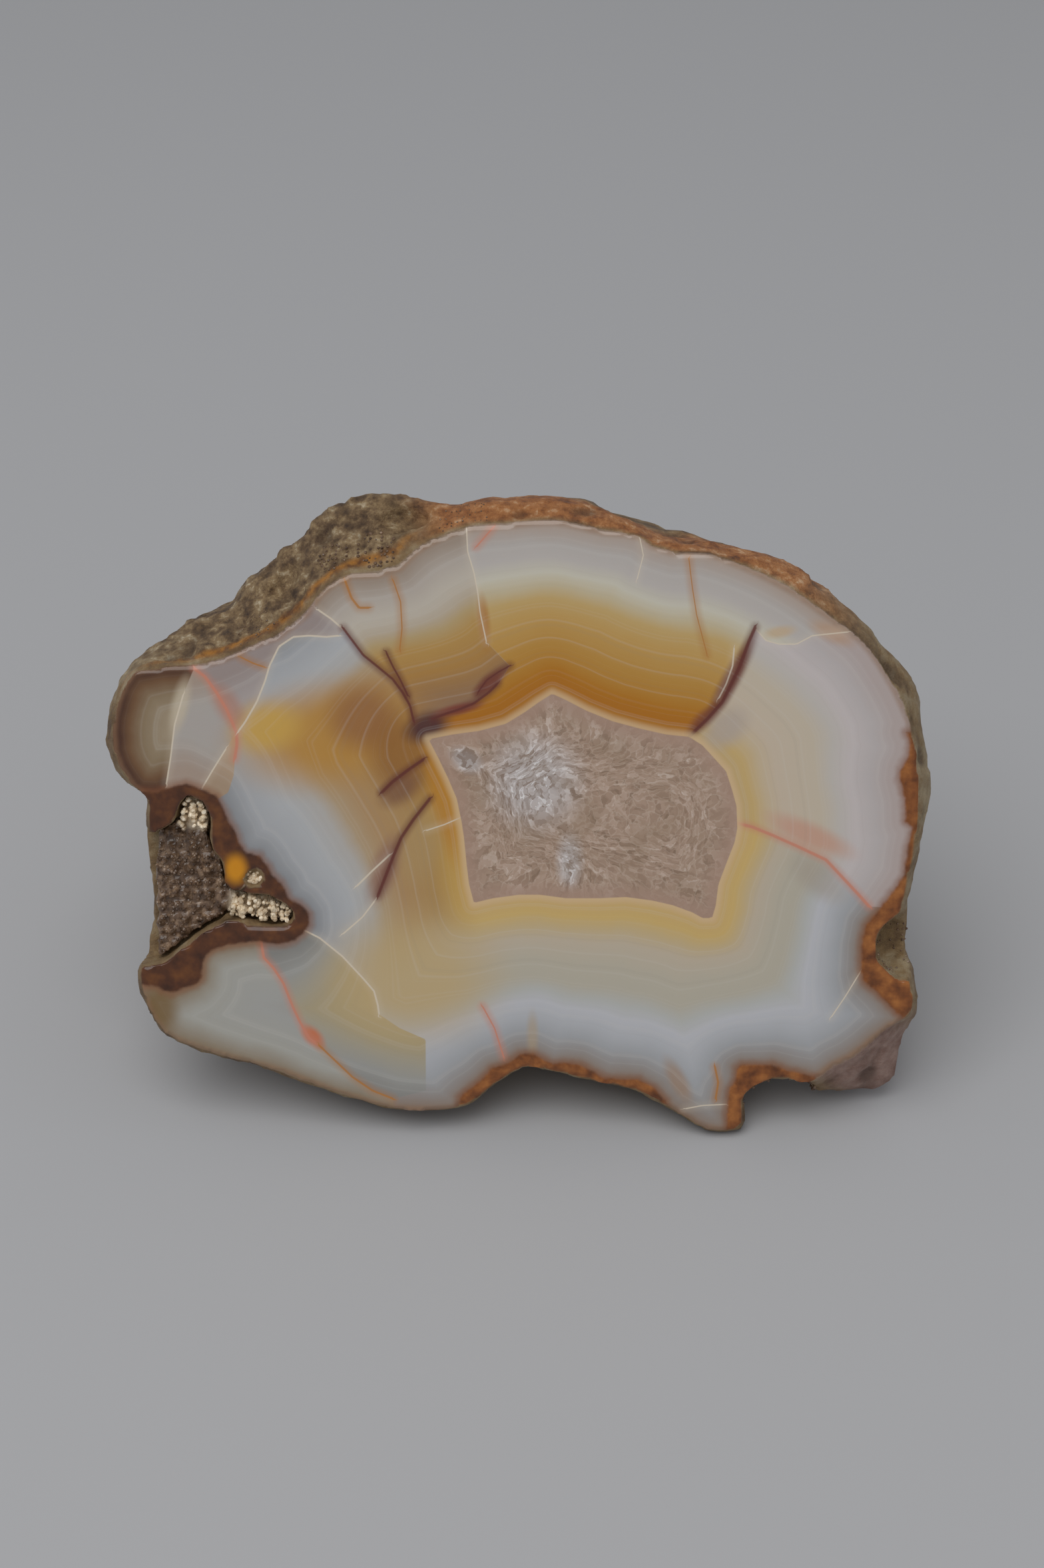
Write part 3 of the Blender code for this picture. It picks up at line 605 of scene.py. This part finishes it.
# The quartz core: where its crystals point from, how big they look, and its whiter clusters
core = dict(
    hub=(5, 0, 0), spread=9.0, stretch=0.55, rays=(2.0, 6.0), wander=0.9, bend=1.6,
    crystals=1.15, specks=2.7, crystalShare=0.55, speckShare=0.45, lineWidth=0.09, lineStrength=0.35,
    clusterStrength=0.85, cloudGrain=0.28, clouds=(0.45, 0.7), cloudStrength=0.35,
    border=(0.2, 1.6), borderStrength=0.8,
    tones=[(0.05, 118, 98, 82), (0.3, 134, 112, 96), (0.6, 146, 124, 108), (0.85, 158, 138, 124),
           (1.0, 172, 156, 144)],
    whites=[(0.1, 122, 108, 100), (0.35, 148, 140, 136), (0.65, 166, 160, 158), (0.9, 196, 194, 194)],
    clusters=[((1.2, 2.8), (4.6, 4.8), 20), ((4.2, -3.9), (1.3, 2.8), 0), ((-4.4, 4.6), (1.8, 1.2), -30)],
)


def crystalPlace(tree, place, inward):
    # near the core's edge the pattern is drawn out towards the hub, and further in it is plain
    away = vector(tree, "SUBTRACT", place, core["hub"])
    heading = vector(tree, "NORMALIZE", away)
    reach = vector(tree, "LENGTH", away, output="Value")
    spun = vector(tree, "SCALE", heading, Scale=core["spread"])
    drawn = add(tree, "ShaderNodeCombineXYZ", {"Z": times(tree, reach, core["stretch"])}).outputs[0]
    rays = vector(tree, "ADD", spun, drawn)
    middle = ease(tree, inward, *core["rays"])
    where = add(tree, "ShaderNodeMix", {0: middle, 4: rays, 5: place}, data_type="VECTOR").outputs[1]
    wander = add(tree, "ShaderNodeTexNoise", {"Vector": place, "Scale": core["wander"],
                                              "Detail": 3.0}).outputs["Color"]
    centred = vector(tree, "SUBTRACT", wander, (0.5, 0.5, 0.5))
    return vector(tree, "ADD", where, vector(tree, "SCALE", centred, Scale=core["bend"]))


def quartzColour(tree, group, place, inward):
    # cloudy crystals that grew in from the core's edge, with whiter clusters
    where = crystalPlace(tree, place, inward)
    cells = add(tree, "ShaderNodeTexVoronoi", {"Vector": where, "Scale": core["crystals"]})
    edges = add(tree, "ShaderNodeTexVoronoi", {"Vector": where, "Scale": core["crystals"]},
                feature="DISTANCE_TO_EDGE")
    small = add(tree, "ShaderNodeTexVoronoi", {"Vector": where, "Scale": core["specks"]})
    tone = add(tree, "ShaderNodeSeparateColor", {0: cells.outputs["Color"]}).outputs[0]
    speck = add(tree, "ShaderNodeSeparateColor", {0: small.outputs["Color"]}).outputs[0]
    tone = plus(tree, times(tree, tone, core["crystalShare"]), times(tree, speck, core["speckShare"]))
    mosaic = ramp(tree, tone, core["tones"])
    lines = falls(tree, edges.outputs["Distance"], 0.0, core["lineWidth"])
    mosaic = mix(tree, times(tree, lines, core["lineStrength"]), mosaic, seen(172, 156, 142))
    white = ramp(tree, tone, core["whites"])
    for cluster in core["clusters"]:
        amount = blobAmount(tree, group, place, *cluster, core["clusterStrength"])
        mosaic = mix(tree, amount, mosaic, white)
    cloudy = ease(tree, cloud(tree, place, core["cloudGrain"], 2), *core["clouds"])
    mosaic = mix(tree, times(tree, cloudy, core["cloudStrength"]), mosaic, seen(124, 104, 84))
    border = times(tree, falls(tree, inward, *core["border"]), core["borderStrength"])
    return mix(tree, border, mosaic, seen(144, 119, 104))


# The natural outside: brown and ochre, orange along the top, mixed on the broken slope
skin = dict(
    broadGrain=0.16, fineGrain=0.9, broadShare=0.6, fineShare=0.4, rimStrength=0.9, slopeStrength=0.85,
    pitted=(-0.35, -0.02), pitStrength=0.6, ledge=(0.9, 1.5), amberGrain=1.1,
    plain=[(0.34, 68, 50, 36), (0.44, 100, 80, 56), (0.52, 122, 100, 70), (0.6, 138, 122, 96),
           (0.7, 156, 138, 108)],
    orange=[(0.3, 84, 50, 28), (0.45, 132, 80, 40), (0.58, 158, 104, 60), (0.7, 186, 150, 116)],
    broken=[(0.32, 54, 40, 30), (0.46, 96, 76, 54), (0.58, 134, 112, 82), (0.72, 190, 176, 150)],
    chipped=[(0.3, 112, 84, 74), (0.7, 146, 122, 112)],
    amber=[(0.35, 92, 54, 22), (0.6, 158, 104, 36)],
)


def skinColour(tree, place, marks, skins):
    slope, rim, chip = skins[0], skins[1], skins[2]
    broad = cloud(tree, place, skin["broadGrain"], 3)
    fine = cloud(tree, place, skin["fineGrain"], 5, 0.65)
    tone = plus(tree, times(tree, broad, skin["broadShare"]), times(tree, fine, skin["fineShare"]))
    colour = ramp(tree, tone, skin["plain"])
    colour = mix(tree, times(tree, rim, skin["rimStrength"]), colour, ramp(tree, fine, skin["orange"]))
    colour = mix(tree, times(tree, slope, skin["slopeStrength"]), colour, ramp(tree, fine, skin["broken"]))
    colour = mix(tree, chip, colour, ramp(tree, fine, skin["chipped"]))
    # darker where the skin is pushed in, in its pits
    pitted = times(tree, falls(tree, marks[2], *skin["pitted"]), skin["pitStrength"])
    colour = mix(tree, pitted, colour, seen(60, 44, 32))
    ledge = times(tree, slope, falls(tree, marks[1], *skin["ledge"]))      # amber edge under the slope
    return mix(tree, ledge, colour, ramp(tree, cloud(tree, place, skin["amberGrain"], 2), skin["amber"]))


# The banded chalcedony of the polished face
bandLook = dict(
    driftGrain=0.25, drift=0.05, growthLines=26.0, paleLines=(0.5, 0.75), paleStrength=0.22,
    darkLines=(0.28, 0.46), darkStrength=0.18, rimWidth=0.55, rimStrength=0.55,
)


def bandColour(tree, group, place, bands):
    drift = calc(tree, "SUBTRACT", cloud(tree, place, bandLook["driftGrain"], 3), 0.5)
    share = plus(tree, bands[1], times(tree, drift, bandLook["drift"]))
    colour = ramp(tree, share, baseColours)
    for index, zone in enumerate(zones.values()):
        field = parts(tree, f"zones{index // 3}")[index % 3]
        inside = ease(tree, field, -zone["soft"], zone["soft"])
        colour = mix(tree, inside, colour, ramp(tree, share, zone["colours"]))
    # stains, and two painted shadows beside cracks, laid over the bands
    for middle, size, turn, tint, strength in stainsAndShadows:
        amount = blobAmount(tree, group, place, middle, size, turn, strength)
        colour = mix(tree, amount, colour, seen(*tint))
    # faint growth lines parallel to the rim
    along = times(tree, bands[1], bandLook["growthLines"])
    rings = add(tree, "ShaderNodeCombineXYZ", {"X": along}).outputs[0]
    lines = cloud(tree, rings, 1.0, 3, 0.6)
    pale = times(tree, ease(tree, lines, *bandLook["paleLines"]), bandLook["paleStrength"])
    colour = mix(tree, pale, colour, seen(176, 172, 166))
    dark = times(tree, falls(tree, lines, *bandLook["darkLines"]), bandLook["darkStrength"])
    colour = mix(tree, dark, colour, seen(122, 112, 102))
    rimTint = times(tree, falls(tree, bands[2], 0.0, bandLook["rimWidth"]), bandLook["rimStrength"])
    return mix(tree, rimTint, colour, seen(122, 92, 68))


def crackedColour(tree, colour, channels):
    for index, channel in enumerate(channels):
        across, near, strength = parts(tree, f"cracks{index}")
        tint = crackColours[channel["kind"]]
        halo = times(tree, falls(tree, near, 0.0, crackLook["haloReach"]), crackHalos[channel["kind"]])
        colour = mix(tree, halo, colour, tint)
        line = falls(tree, calc(tree, "ABSOLUTE", across), *crackLook["line"])
        line = times(tree, times(tree, line, strength), crackLook["lineStrength"])
        colour = mix(tree, line, colour, tint)
    return colour


# The dark brown bands round the open places: chocolate at the left, orange-brown elsewhere
brownBand = dict(
    waveGrain=1.3, wave=0.35, darkGrain=0.7, warmGrain=0.8,
    fringe=(-0.7, 0.05), fringeStrength=0.6, edge=(-0.12, 0.2), east=(-12.0, -4.0),
    dark=[(0.3, 52, 30, 18), (0.5, 72, 42, 24), (0.7, 92, 56, 28)],
    warm=[(0.3, 78, 44, 22), (0.5, 112, 66, 32), (0.7, 140, 88, 44)],
    amberPatch=((-23.6, -4.6), (1.2, 1.6), 0, 0.95),
)


def brownedColour(tree, group, colour, place, brown):
    wave = calc(tree, "SUBTRACT", cloud(tree, place, brownBand["waveGrain"], 2), 0.5)
    wavy = plus(tree, brown, times(tree, wave, brownBand["wave"]))
    east = add(tree, "ShaderNodeSeparateXYZ", {0: place}).outputs[0]
    dark = ramp(tree, cloud(tree, place, brownBand["darkGrain"], 3), brownBand["dark"])
    warm = ramp(tree, cloud(tree, place, brownBand["warmGrain"], 3), brownBand["warm"])
    tint = mix(tree, ease(tree, east, *brownBand["east"]), dark, warm)
    fringe = times(tree, ease(tree, wavy, *brownBand["fringe"]), brownBand["fringeStrength"])
    colour = mix(tree, fringe, colour, seen(112, 70, 44))
    colour = mix(tree, ease(tree, wavy, *brownBand["edge"]), colour, tint)
    return mix(tree, blobAmount(tree, group, place, *brownBand["amberPatch"]), colour, seen(178, 118, 18))


# The stone's surface: polished in front, dull and crumbly behind
finish = dict(
    outside=(0.12, 0.3), paleLine=(0.05, 0.75), paleLineStrength=0.75, coreEdge=(-0.03, 0.06),
    polish=0.12, dullness=0.18, dullSpread=0.5, dullGrain=1.4, crumbGrain=3.2, crumbStrength=0.8,
    crumbHeight=0.0004, glow=0.08, glowReach=(1.0, 0.7, 0.5), glowScale=0.0006,
)
quartzIor = 1.54


def agateMaterial(channels):
    group = blobGroup()
    material = bpy.data.materials.new("bandedAgate")
    material.use_nodes = True
    tree = material.node_tree
    shader = tree.nodes["Principled BSDF"]
    place = facePlace(tree)
    bands, marks, skins = parts(tree, "bands"), parts(tree, "marks"), parts(tree, "skins")
    colour = bandColour(tree, group, place, bands)
    colour = crackedColour(tree, colour, channels)
    colour = brownedColour(tree, group, colour, place, marks[0])
    # a thin pale line runs round the quartz core
    inward = times(tree, bands[0], -1.0)
    pale = times(tree, falls(tree, bands[0], *finish["paleLine"]), finish["paleLineStrength"])
    colour = mix(tree, pale, colour, seen(180, 154, 120))
    inCore = ease(tree, inward, *finish["coreEdge"])
    colour = mix(tree, inCore, colour, quartzColour(tree, group, place, inward))
    outside = ease(tree, marks[1], *finish["outside"])
    colour = mix(tree, outside, colour, skinColour(tree, place, marks, skins))
    feed(tree, shader.inputs["Base Color"], colour)
    dull = times(tree, cloud(tree, place, finish["dullGrain"], 3), finish["dullSpread"])
    dull = times(tree, outside, plus(tree, finish["dullness"], dull))
    feed(tree, shader.inputs["Roughness"], plus(tree, finish["polish"], dull))
    crumb = times(tree, cloud(tree, place, finish["crumbGrain"], 6, 0.7), outside)
    bump = add(tree, "ShaderNodeBump", {"Height": crumb, "Strength": finish["crumbStrength"],
                                        "Distance": finish["crumbHeight"]})
    feed(tree, shader.inputs["Normal"], bump.outputs[0])
    shader.inputs["IOR"].default_value = quartzIor
    shader.inputs["Subsurface Weight"].default_value = finish["glow"]
    shader.inputs["Subsurface Radius"].default_value = finish["glowReach"]
    shader.inputs["Subsurface Scale"].default_value = finish["glowScale"]
    return material


# Small crystals in the hollow and on the outside; sizes in millimetres
crystals = dict(seed=11, sides=6, tall=0.9, slim=0.26, stem=0.6, tip=0.55, lean=0.55, grain=1.6, polish=0.16)
hollow = dict(voxel=0.2, count=520, smallest=0.45, largest=1.0, facing=0.5, lift=1.1, sink=0.1,
              second=0.35, brownSize=0.7)
nest = dict(count=26, middle=(-22.1, -5.4), wide=0.8, high=0.6, depth=-0.75, smallest=0.5, largest=0.9)
whiteSpots = [((-27.0, 0.2), 1.9), ((-22.1, -5.4), 1.3), ((-21.6, -8.3), 3.0)]   # middle, reach
whiteEdge = (0.75, 1.1)
outOfFace = Vector((0, 0, 1))


def crystalShape():
    # a six-sided crystal with a point
    slim, tall = crystals["slim"], crystals["tall"]
    bm = bmesh.new()
    bmesh.ops.create_cone(bm, cap_ends=True, segments=crystals["sides"], radius1=slim, radius2=slim,
                          depth=tall * crystals["stem"])
    top = max(bm.faces, key=lambda face: face.calc_center_median().z)
    grown = bmesh.ops.extrude_face_region(bm, geom=[top])["geom"]
    tip = [item for item in grown if isinstance(item, bmesh.types.BMVert)]
    bmesh.ops.delete(bm, geom=[top], context="FACES_ONLY")
    bmesh.ops.pointmerge(bm, verts=tip, merge_co=Vector((0, 0, tall * crystals["tip"])))
    bmesh.ops.recalc_face_normals(bm, faces=bm.faces)
    mesh = bpy.data.meshes.new("crystalShape")
    bm.to_mesh(mesh)
    bm.free()
    return mesh


def plantCrystals(bm, shape, spots):
    # spots: place and outward direction in face coordinates, and a size
    rng = random.Random(crystals["seed"])
    for place, normal, size in spots:
        lean = Vector((rng.uniform(-1, 1), rng.uniform(-1, 1), rng.uniform(-1, 1))) * crystals["lean"]
        turn = (normal + lean).to_track_quat("Z", "Y").to_matrix().to_4x4()
        spin = Matrix.Rotation(rng.uniform(0, math.pi), 4, "Z")
        before = len(bm.verts)
        bm.from_mesh(shape)
        bm.verts.ensure_lookup_table()
        bmesh.ops.transform(bm, verts=bm.verts[before:],
                            matrix=Matrix.Translation(place) @ turn @ spin @ Matrix.Scale(size, 4))


def finishCrystals(bm, name):
    # kept inside the CAD box, with the white of the pale clusters as an attribute
    low, high = cadBox
    bm.transform(toWorld)
    for vert in bm.verts:
        vert.co = Vector(max(low[axis], min(high[axis], vert.co[axis])) for axis in range(3))
    item = placedObject(bm, name)
    local = turned(coordinates(item.data), toFace)
    white = np.zeros(len(local))
    for middle, reach in whiteSpots:
        distance = np.hypot(*(local[:, :2] - np.array(middle)).T)
        white = np.maximum(white, 1 - eased(distance, *(reach * part for part in whiteEdge)))
    keepField(item.data, "whiteness", np.stack([white, white, white], 1))
    return item


def makeHollowCrystals():
    bed = remeshed(placedObject(nodeMesh("hollow_crystals"), "hollow_crystal_bed"), hollow["voxel"])
    bm = bmesh.new()
    bm.from_mesh(bed.data)
    bpy.data.objects.remove(bed)
    bm.normal_update()
    upper = [vert for vert in bm.verts if vert.normal.z > hollow["facing"]]
    rng = random.Random(crystals["seed"])
    spots = []
    for _ in range(hollow["count"]):
        vert = rng.choice(upper)
        size = rng.uniform(hollow["smallest"], hollow["largest"])
        if min(math.dist(vert.co.xy, middle) / reach for middle, reach in whiteSpots) < 1:
            lifted = hollow["lift"] - hollow["sink"]
            spots.append((vert.co + Vector((0, 0, lifted)), outOfFace, size))
            spots.append((vert.co + Vector((0, 0, hollow["second"])), outOfFace, size))
        else:
            spots.append((vert.co - Vector((0, 0, hollow["sink"])), outOfFace, size * hollow["brownSize"]))
    for _ in range(nest["count"]):
        right = nest["middle"][0] + rng.uniform(-nest["wide"], nest["wide"])
        up = nest["middle"][1] + rng.uniform(-nest["high"], nest["high"])
        size = rng.uniform(nest["smallest"], nest["largest"])
        spots.append((Vector((right, up, nest["depth"])), outOfFace, size))
    plantCrystals(bm, crystalShape(), spots)
    print("hollow crystals made")
    return finishCrystals(bm, "hollow_crystal_crust")


# Patches of crystals on the outside: middle in face coordinates, reach, number and size
patches = [
    ((22.0, -24.2, -3.0), 3.4, 90, 0.7), ((-15.6, 21.6, -1.8), 1.5, 46, 0.5),
    ((-11.6, 21.8, -1.6), 1.8, 56, 0.55), ((-22.0, 15.4, -1.2), 2.4, 40, 0.35),
    ((-4.5, 24.6, -1.0), 2.2, 60, 0.32), ((31.2, -11.6, -2.2), 2.4, 60, 0.45),
]
patchLook = dict(behindFace=-0.4, sink=0.05, smallest=0.5)


def makeSkinCrystals(stone):
    places = turned(coordinates(stone.data), toFace)
    normals = [toFace.to_3x3() @ vert.normal for vert in stone.data.vertices]
    behind = places[:, 2] < patchLook["behindFace"]
    rng = random.Random(crystals["seed"] + 1)
    spots = []
    for middle, reach, count, size in patches:
        near = list(np.nonzero((np.linalg.norm(places - np.array(middle), axis=1) < reach) & behind)[0])
        for _ in range(count if near else 0):
            index = rng.choice(near)
            normal = normals[index].normalized()
            grown = size * rng.uniform(patchLook["smallest"], 1.0)
            spots.append((Vector(places[index]) - normal * patchLook["sink"], normal, grown))
    bm = bmesh.new()
    plantCrystals(bm, crystalShape(), spots)
    print("outside crystals made,", len(spots))
    return finishCrystals(bm, "outside_crystals")


def crystalMaterial():
    material = bpy.data.materials.new("smallCrystals")
    material.use_nodes = True
    tree = material.node_tree
    shader = tree.nodes["Principled BSDF"]
    fine = cloud(tree, facePlace(tree), crystals["grain"], 4, 0.6)
    grey = ramp(tree, fine, [(0.3, 58, 44, 34), (0.5, 88, 70, 56), (0.7, 128, 106, 86)])
    cream = ramp(tree, fine, [(0.3, 150, 128, 102), (0.5, 196, 180, 154), (0.7, 226, 216, 198)])
    white = parts(tree, "whiteness")[0]
    feed(tree, shader.inputs["Base Color"], mix(tree, white, grey, cream))
    shader.inputs["Roughness"].default_value = crystals["polish"]
    shader.inputs["IOR"].default_value = quartzIor
    return material


channels = crackChannels()
stone = makeBody(channels)
stone.data.materials.clear()
stone.data.materials.append(agateMaterial(channels))
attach(stone, "root")
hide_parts("agate_nodule")
print("stone dressed")

sparkle = crystalMaterial()
crust = makeHollowCrystals()
crust.data.materials.append(sparkle)
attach(crust, "root")
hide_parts("hollow_crystals")

glints = makeSkinCrystals(stone)
glints.data.materials.append(sparkle)
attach(glints, "root")

# The studio: a pale floor, a pale room and one broad soft light from above
studio = dict(
    floorSize=6.0, floorColour=(0.52, 0.52, 0.53), floorRoughness=0.8,
    roomColour=(0.95, 0.97, 1.0), roomLight=0.36,
    lampPower=1.5, lampSize=0.5, lampPlace=(-0.12, -0.22, 0.55), lampAim=(0, 0, 0.02),
)
bm = bmesh.new()
bmesh.ops.create_grid(bm, x_segments=1, y_segments=1, size=studio["floorSize"] / 2)
floor = placedObject(bm, "studio_floor")
floorPaint = bpy.data.materials.new("paleFloor")
floorPaint.use_nodes = True
paint = floorPaint.node_tree.nodes["Principled BSDF"]
paint.inputs["Base Color"].default_value = (*studio["floorColour"], 1)
paint.inputs["Roughness"].default_value = studio["floorRoughness"]
floor.data.materials.append(floorPaint)

room = bpy.data.worlds.new("paleRoom")
room.use_nodes = True
roomLight = room.node_tree.nodes["Background"]
roomLight.inputs["Color"].default_value = (*studio["roomColour"], 1)
roomLight.inputs["Strength"].default_value = studio["roomLight"]
bpy.context.scene.world = room

lampData = bpy.data.lights.new("softbox", "AREA")
lampData.size = studio["lampSize"]
lampData.energy = studio["lampPower"]
lamp = bpy.data.objects.new("softbox", lampData)
lamp.location = studio["lampPlace"]
lamp.rotation_euler = (Vector(studio["lampAim"]) - lamp.location).to_track_quat("-Z", "Y").to_euler()
bpy.context.scene.collection.objects.link(lamp)

# The photo's view: 35 degrees above the floor
view = dict(place=Vector((0.19, -199.3, 160.2)) * mm, above=35, lens=63.8, film=36, nearest=0.01)
cameraData = bpy.data.cameras.new("photoView")
cameraData.lens = view["lens"]
cameraData.sensor_width = view["film"]
cameraData.clip_start = view["nearest"]
camera = bpy.data.objects.new("photoView", cameraData)
camera.location = view["place"]
camera.rotation_euler = (math.radians(90 - view["above"]), 0, 0)
bpy.context.scene.collection.objects.link(camera)
bpy.context.scene.camera = camera
bpy.context.scene.view_settings.view_transform = "Standard"
print("studio ready")
